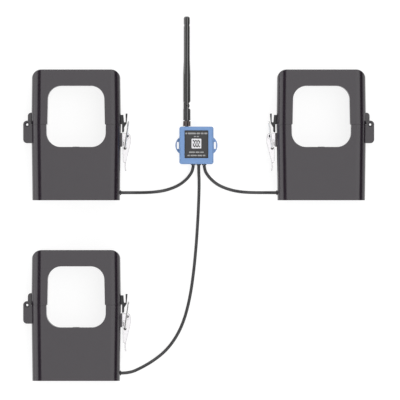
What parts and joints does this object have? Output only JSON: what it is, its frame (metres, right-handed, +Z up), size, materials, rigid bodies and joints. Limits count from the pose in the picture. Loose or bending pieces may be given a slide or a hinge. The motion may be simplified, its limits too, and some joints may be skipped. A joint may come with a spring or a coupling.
{
  "type": "three-phase current meter",
  "caption": "Hinged split-core current transformers with toggle latches, each cabled to a small radio gateway box with slotted ears and a tilting whip antenna.",
  "frame": {"origin": "on the bench under the middle of the set as it lies in the picture, the free cables left out", "axes": "+X to the right and +Y away from the viewer, along the antenna; +Z up, out of the faces"},
  "size_m": [0.6162, 0.6404, 0.054],
  "materials": {
    "housing_plastic": "satin moulded, dark grey",
    "keeper_plastic": "satin moulded, black",
    "core_steel": "wound silicon steel strip, varnished",
    "winding_wire": "enamelled copper wire under clear tape",
    "bobbin_plastic": "natural nylon",
    "stainless": "brushed stainless sheet",
    "stainless_wire": "drawn stainless wire",
    "pin_steel": "turned stainless",
    "screw_steel": "zinc plated",
    "rubber": "matt black",
    "cable_jacket": "smooth black jacket",
    "gateway_plastic": "satin moulded, light blue",
    "label_film": "black printed film",
    "board_laminate": "green glass-fibre laminate with parts",
    "cell_wrap": "shrink sleeve",
    "connector_metal": "gold plated brass",
    "nut_metal": "black nickel, knurled",
    "antenna_plastic": "glossy black"
  },
  "bodies": {
    "root": {"ct_a_base_housing": "housing_plastic", "ct_a_base_cover": "housing_plastic", "ct_a_base_core": "core_steel", "ct_a_coil": "winding_wire", "ct_a_hinge_pin": "pin_steel", "ct_a_latch_bracket": "stainless", "ct_b_base_housing": "housing_plastic", "ct_b_base_cover": "housing_plastic", "ct_b_base_core": "core_steel", "ct_b_coil": "winding_wire", "ct_b_hinge_pin": "pin_steel", "ct_b_latch_bracket": "stainless", "ct_c_base_housing": "housing_plastic", "ct_c_base_cover": "housing_plastic", "ct_c_base_core": "core_steel", "ct_c_coil": "winding_wire", "ct_c_hinge_pin": "pin_steel", "ct_c_latch_bracket": "stainless", "base_screws": "screw_steel", "coil_bobbins": "bobbin_plastic", "burden_boards": "board_laminate", "ct_grommets": "rubber", "latch_rivets": "stainless", "lever_pins": "pin_steel", "cable_a": "cable_jacket", "cable_b": "cable_jacket", "cable_c": "cable_jacket", "gateway_rear_shell": "gateway_plastic", "gateway_front_shell": "gateway_plastic", "label_plate": "label_film", "circuit_board": "board_laminate", "battery_holder": "keeper_plastic", "battery_cells": "cell_wrap", "gateway_grommets": "rubber", "gateway_screws": "screw_steel", "sma_connector": "connector_metal", "antenna_nut": "nut_metal"},
    "jaw_a": {"ct_a_jaw_front": "housing_plastic", "ct_a_jaw_rear": "housing_plastic", "ct_a_jaw_core": "core_steel", "ct_a_keeper": "keeper_plastic"},
    "lever_a": {"ct_a_latch_lever": "stainless"},
    "link_a": {"ct_a_latch_link": "stainless_wire"},
    "jaw_b": {"ct_b_jaw_front": "housing_plastic", "ct_b_jaw_rear": "housing_plastic", "ct_b_jaw_core": "core_steel", "ct_b_keeper": "keeper_plastic"},
    "lever_b": {"ct_b_latch_lever": "stainless"},
    "link_b": {"ct_b_latch_link": "stainless_wire"},
    "jaw_c": {"ct_c_jaw_front": "housing_plastic", "ct_c_jaw_rear": "housing_plastic", "ct_c_jaw_core": "core_steel", "ct_c_keeper": "keeper_plastic"},
    "lever_c": {"ct_c_latch_lever": "stainless"},
    "link_c": {"ct_c_latch_link": "stainless_wire"},
    "antenna_elbow": {"antenna_base": "antenna_plastic", "antenna_pin": "pin_steel"},
    "whip": {"antenna_whip": "antenna_plastic"}
  },
  "joints": [
    {"name": "jaw_a_open", "type": "hinge", "parent": "root", "child": "jaw_a", "pos_m": [-0.3012, 0.1295, 0.027], "axis": [0, 0, 1], "range_deg": [0, 100]},
    {"name": "lever_a_swing", "type": "hinge", "parent": "root", "child": "lever_a", "pos_m": [-0.1254, 0.1093, 0.027], "axis": [0, 0, 1], "range_deg": [0, 135]},
    {"name": "link_a_swing", "type": "hinge", "parent": "lever_a", "child": "link_a", "pos_m": [-0.1293, 0.0879, 0.027], "axis": [0, 0, 1], "range_deg": [-150, 0]},
    {"name": "jaw_b_open", "type": "hinge", "parent": "root", "child": "jaw_b", "pos_m": [-0.3012, -0.1874, 0.027], "axis": [0, 0, 1], "range_deg": [0, 100]},
    {"name": "lever_b_swing", "type": "hinge", "parent": "root", "child": "lever_b", "pos_m": [-0.1254, -0.2076, 0.027], "axis": [0, 0, 1], "range_deg": [0, 135]},
    {"name": "link_b_swing", "type": "hinge", "parent": "lever_b", "child": "link_b", "pos_m": [-0.1293, -0.229, 0.027], "axis": [0, 0, 1], "range_deg": [-150, 0]},
    {"name": "jaw_c_open", "type": "hinge", "parent": "root", "child": "jaw_c", "pos_m": [0.3012, 0.1295, 0.027], "axis": [0, 0, -1], "range_deg": [0, 100]},
    {"name": "lever_c_swing", "type": "hinge", "parent": "root", "child": "lever_c", "pos_m": [0.1254, 0.1093, 0.027], "axis": [0, 0, -1], "range_deg": [0, 135]},
    {"name": "link_c_swing", "type": "hinge", "parent": "lever_c", "child": "link_c", "pos_m": [0.1293, 0.0879, 0.027], "axis": [0, 0, -1], "range_deg": [-150, 0]},
    {"name": "antenna_swivel", "type": "hinge", "parent": "root", "child": "antenna_elbow", "pos_m": [-0.0209, 0.136, 0.007], "axis": [0, 1, 0], "continuous": true},
    {"name": "antenna_tilt", "type": "hinge", "parent": "antenna_elbow", "child": "whip", "pos_m": [-0.0209, 0.1626, 0.007], "axis": [0, 0, -1], "range_deg": [0, 90]}
  ],
  "couplings": [
    {"joint": "link_a_swing", "follows": "lever_a_swing", "ratio": -1.1},
    {"joint": "link_b_swing", "follows": "lever_b_swing", "ratio": -1.1},
    {"joint": "link_c_swing", "follows": "lever_c_swing", "ratio": -1.1}
  ]
}
